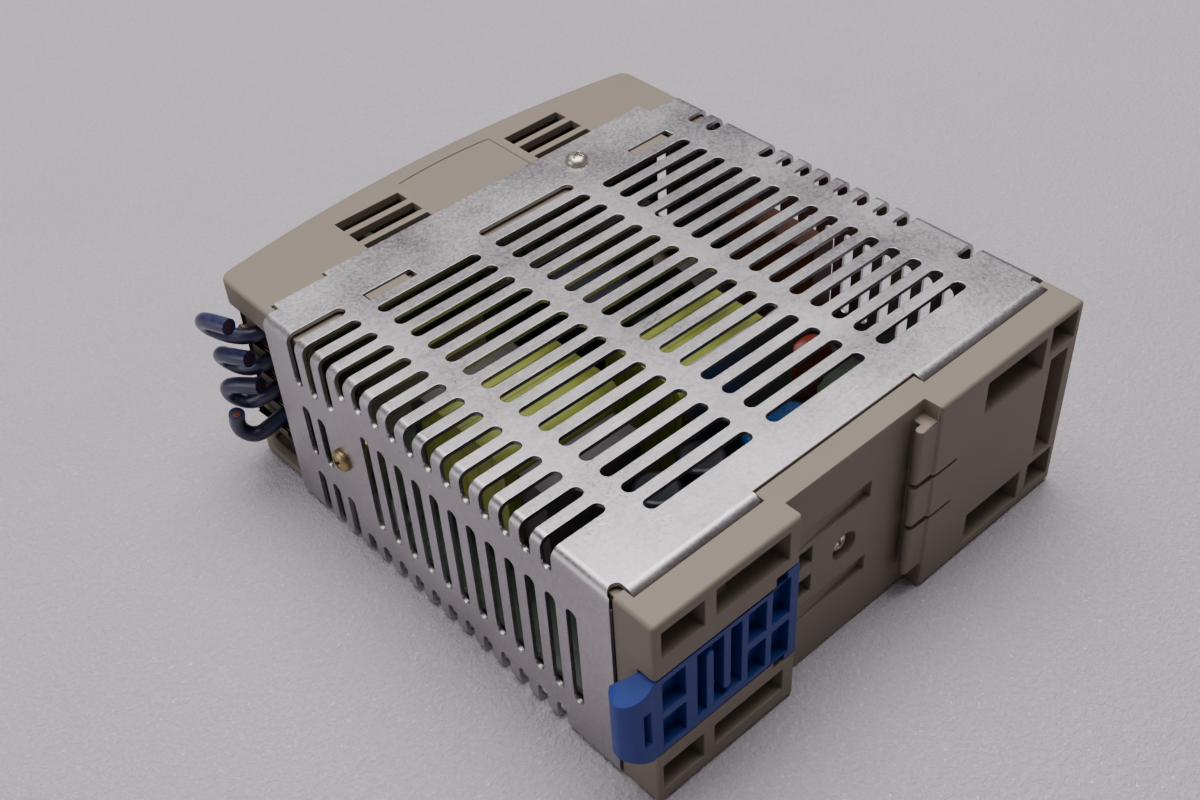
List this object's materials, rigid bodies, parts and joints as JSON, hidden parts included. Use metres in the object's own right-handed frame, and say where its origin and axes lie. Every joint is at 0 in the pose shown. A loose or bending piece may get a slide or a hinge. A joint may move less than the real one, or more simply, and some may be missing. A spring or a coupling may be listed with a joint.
{
  "type": "din rail power supply",
  "caption": "Slim rail-mounted power supply: perforated sheet cover, plastic front hood and rear feet, sliding rail latch, cut lead stubs, full inner electronics.",
  "frame": {"origin": "under the middle of the unit's bounding box, on the surface it lies on", "axes": "+X towards the lower end with the latch tab, +Y towards the back that clips on the rail, +Z towards the vented side cover"},
  "size_m": [0.1221, 0.1343, 0.05],
  "materials": {
    "coated_sheet": "satin, fine rolling grain",
    "housing_plastic": "fine moulded texture",
    "latch_plastic": "semi matte",
    "plated_screw": "nickel plate",
    "board": "solder mask",
    "insulation": "smooth",
    "winding_tape": "polyester tape",
    "ferrite": "ground ferrite",
    "film_case": "moulded",
    "varistor_coat": "dipped",
    "heat_sink": "mill",
    "device_epoxy": "moulded",
    "terminal_plastic": "moulded",
    "light_pipe": "clear",
    "label_film": "printed film, blank",
    "copper_strand": "drawn copper, tarnished",
    "lead_insulation": "extruded insulation",
    "dark_sleeve": "shrink sleeve",
    "capacitor_sleeve": "shrink sleeve"
  },
  "bodies": {
    "case": {"board_standoff_1": "plated_screw", "board_standoff_2": "plated_screw", "board_standoff_3": "plated_screw", "board_standoff_4": "plated_screw", "boost_choke": "winding_tape", "bridge_heat_sink": "heat_sink", "bulk_capacitor_1": "capacitor_sleeve", "bulk_capacitor_2": "dark_sleeve", "chassis_plate": "coated_sheet", "dc_low_light_pipe": "light_pipe", "dc_on_light_pipe": "light_pipe", "end_bracket": "coated_sheet", "end_screw": "plated_screw", "film_capacitor": "film_case", "front_housing": "housing_plastic", "front_label": "label_film", "input_screw_1": "plated_screw", "input_screw_2": "plated_screw", "input_screw_3": "plated_screw", "input_terminal_block": "terminal_plastic", "insulation_sheet": "insulation", "lead_stub_1": "lead_insulation", "lead_stub_2": "lead_insulation", "lead_stub_3": "lead_insulation", "lead_stub_4": "lead_insulation", "line_filter": "ferrite", "main_board": "board", "mains_fuse": "film_case", "output_capacitor_1": "dark_sleeve", "output_capacitor_2": "dark_sleeve", "output_capacitor_3": "dark_sleeve", "output_capacitor_4": "dark_sleeve", "output_choke": "ferrite", "output_heat_sink": "heat_sink", "output_rectifier": "device_epoxy", "output_screw_1": "plated_screw", "output_screw_2": "plated_screw", "output_screw_3": "plated_screw", "output_screw_4": "plated_screw", "output_screw_5": "plated_screw", "output_terminal_block": "terminal_plastic", "perforated_cover": "coated_sheet", "primary_heat_sink": "heat_sink", "rail_bed_screw": "plated_screw", "rear_housing": "housing_plastic", "side_screw": "plated_screw", "switching_transistor": "device_epoxy", "transformer_core_ends": "ferrite", "transformer_winding": "winding_tape", "trimmer_body": "terminal_plastic", "varistor": "varistor_coat"},
    "latch": {"rail_latch": "latch_plastic"},
    "trimmer": {"voltage_trimmer": "latch_plastic"}
  },
  "joints": [
    {"name": "latch_slide", "type": "slide", "parent": "case", "child": "latch", "axis": [1, 0, 0], "range_m": [0, 0.0025], "stiffness_N_per_m": 900, "springref_m": -0.002},
    {"name": "trimmer_turn", "type": "hinge", "parent": "case", "child": "trimmer", "pos_m": [0.0248, -0.0611, 0.0353], "axis": [0, -1, 0], "range_deg": [-135, 135]}
  ]
}
